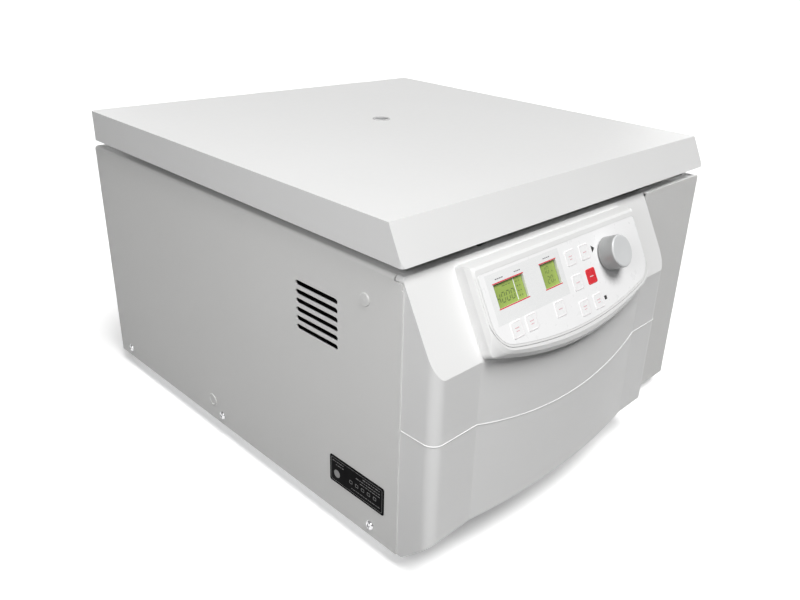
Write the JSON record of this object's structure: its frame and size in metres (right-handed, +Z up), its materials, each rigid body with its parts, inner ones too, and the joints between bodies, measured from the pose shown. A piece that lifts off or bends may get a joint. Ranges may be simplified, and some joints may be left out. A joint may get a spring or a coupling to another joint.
{
  "type": "laboratory centrifuge",
  "caption": "Benchtop laboratory centrifuge: square sheet-metal housing, flat hinged lid, sloping control panel, angle rotor in a steel bowl.",
  "frame": {"origin": "middle of the object's footprint, at the floor under the feet", "axes": "+Z up; the front with the controls faces -Y; +X to the right of a person who faces the front"},
  "size_m": [0.4405, 0.5197, 0.2946],
  "materials": {
    "panel_paint": "fine textured powder coat",
    "lid_paint": "fine textured powder coat",
    "fascia_plastic": "fine spark-eroded texture",
    "bezel_plastic": "fine satin",
    "overlay_film": "satin film",
    "lcd": "reflective display behind a clear window",
    "circuit_board": "solder resist",
    "knob_plastic": "satin",
    "key_white": "satin film",
    "key_red": "satin film",
    "plate_black": "satin foil",
    "plug_plastic": "satin",
    "zinc_steel": "zinc plated sheet",
    "screw_steel": "plated",
    "hook_steel": "yellow passivated",
    "stainless": "brushed",
    "deck_plastic": "fine texture",
    "liner_plastic": "fine texture",
    "ring_plastic": "satin",
    "sight_lens": "smoked clear",
    "rubber_black": "matt",
    "rotor_alloy": "anodised",
    "nut_alloy": "black anodised",
    "armature": "laminated steel and copper",
    "motor_cast": "painted casting",
    "fan_plastic": "satin",
    "inlet_plastic": "satin",
    "heatsink": "extruded"
  },
  "bodies": {
    "housing": {"base_pan": "zinc_steel", "left_side_panel": "panel_paint", "right_side_panel": "panel_paint", "rear_panel": "panel_paint", "front_bulkhead": "zinc_steel", "top_deck": "deck_plastic", "fascia_upper": "fascia_plastic", "fascia_lower": "fascia_plastic", "control_bezel": "bezel_plastic", "membrane_overlay": "overlay_film", "display_window_left": "lcd", "display_window_right": "lcd", "control_board": "circuit_board", "knob_encoder": "zinc_steel", "rating_plate": "plate_black", "knockout_plug": "panel_paint", "side_screws_left": "screw_steel", "side_screws_right": "screw_steel", "rear_screws": "screw_steel", "feet": "rubber_black", "hinge_brackets": "zinc_steel", "hinge_pins": "screw_steel", "latch_frames": "zinc_steel", "latch_pins": "screw_steel", "bowl": "stainless", "bowl_gasket": "rubber_black", "motor_housing": "motor_cast", "motor_bearings": "screw_steel", "motor_plate": "zinc_steel", "vibration_mounts": "rubber_black", "shaft_boot": "rubber_black", "fan_frame": "fan_plastic", "power_inlet": "inlet_plastic", "drive_inverter": "heatsink"},
    "lid": {"lid_shell": "lid_paint", "lid_liner": "liner_plastic", "lid_stiffeners": "zinc_steel", "sight_port_ring": "ring_plastic", "sight_glass": "sight_lens", "lid_strikers": "zinc_steel", "lid_hinge_arms": "zinc_steel"},
    "rotor": {"rotor": "rotor_alloy", "rotor_nut": "nut_alloy", "drive_shaft": "screw_steel", "motor_armature": "armature"},
    "knob": {"speed_knob": "knob_plastic"},
    "key_program_body": {"key_program": "key_white"},
    "key_recall_body": {"key_recall": "key_white"},
    "key_time_body": {"key_time": "key_white"},
    "key_temperature_body": {"key_temperature": "key_white"},
    "key_radius_body": {"key_radius": "key_white"},
    "key_brake_body": {"key_brake": "key_white"},
    "key_short_spin_body": {"key_short_spin": "key_white"},
    "key_start_body": {"key_start": "key_white"},
    "key_stop_body": {"key_stop": "key_red"},
    "release_plug_body": {"release_plug": "plug_plastic"},
    "latch_left": {"latch_hook_left": "hook_steel"},
    "latch_right": {"latch_hook_right": "hook_steel"},
    "fan": {"fan_impeller": "fan_plastic"},
    "rocker": {"rocker_switch": "inlet_plastic"}
  },
  "joints": [
    {"name": "lid_hinge", "type": "hinge", "parent": "housing", "child": "lid", "pos_m": [0, 0.247, 0.2595], "axis": [-1, 0, 0], "range_deg": [0, 75]},
    {"name": "rotor_spin", "type": "hinge", "parent": "housing", "child": "rotor", "pos_m": [0, 0.0517, 0.15], "axis": [0, 0, 1], "continuous": true},
    {"name": "knob_turn", "type": "hinge", "parent": "housing", "child": "knob", "pos_m": [0.0005, -0.23505, 0.22813], "axis": [0, -0.8829, 0.4695], "continuous": true},
    {"name": "key_program_press", "type": "slide", "parent": "housing", "child": "key_program_body", "axis": [0, 0.8829, -0.4695], "range_m": [0, 0.0005], "stiffness_N_per_m": 1500},
    {"name": "key_recall_press", "type": "slide", "parent": "housing", "child": "key_recall_body", "axis": [0, 0.8829, -0.4695], "range_m": [0, 0.0005], "stiffness_N_per_m": 1500},
    {"name": "key_time_press", "type": "slide", "parent": "housing", "child": "key_time_body", "axis": [0, 0.8829, -0.4695], "range_m": [0, 0.0005], "stiffness_N_per_m": 1500},
    {"name": "key_temperature_press", "type": "slide", "parent": "housing", "child": "key_temperature_body", "axis": [0, 0.8829, -0.4695], "range_m": [0, 0.0005], "stiffness_N_per_m": 1500},
    {"name": "key_radius_press", "type": "slide", "parent": "housing", "child": "key_radius_body", "axis": [0, 0.8829, -0.4695], "range_m": [0, 0.0005], "stiffness_N_per_m": 1500},
    {"name": "key_brake_press", "type": "slide", "parent": "housing", "child": "key_brake_body", "axis": [0, 0.8829, -0.4695], "range_m": [0, 0.0005], "stiffness_N_per_m": 1500},
    {"name": "key_short_spin_press", "type": "slide", "parent": "housing", "child": "key_short_spin_body", "axis": [0, 0.8829, -0.4695], "range_m": [0, 0.0005], "stiffness_N_per_m": 1500},
    {"name": "key_start_press", "type": "slide", "parent": "housing", "child": "key_start_body", "axis": [0, 0.8829, -0.4695], "range_m": [0, 0.0005], "stiffness_N_per_m": 1500},
    {"name": "key_stop_press", "type": "slide", "parent": "housing", "child": "key_stop_body", "axis": [0, 0.8829, -0.4695], "range_m": [0, 0.0005], "stiffness_N_per_m": 1500},
    {"name": "release_plug_pull", "type": "slide", "parent": "housing", "child": "release_plug_body", "axis": [-1, 0, 0], "range_m": [0, 0.007]},
    {"name": "latch_right_turn", "type": "hinge", "parent": "housing", "child": "latch_right", "pos_m": [0.12, -0.17, 0.224], "axis": [1, 0, 0], "range_deg": [0, 14]},
    {"name": "latch_left_turn", "type": "hinge", "parent": "housing", "child": "latch_left", "pos_m": [-0.12, -0.17, 0.224], "axis": [1, 0, 0], "range_deg": [0, 14]},
    {"name": "fan_spin", "type": "hinge", "parent": "housing", "child": "fan", "pos_m": [0.11, 0.24, 0.095], "axis": [0, 1, 0], "continuous": true},
    {"name": "rocker_tip", "type": "hinge", "parent": "housing", "child": "rocker", "pos_m": [-0.102, 0.255, 0.058], "axis": [-1, 0, 0], "range_deg": [0, 16]}
  ],
  "couplings": [
    {"joint": "latch_left_turn", "follows": "latch_right_turn", "ratio": 1}
  ]
}
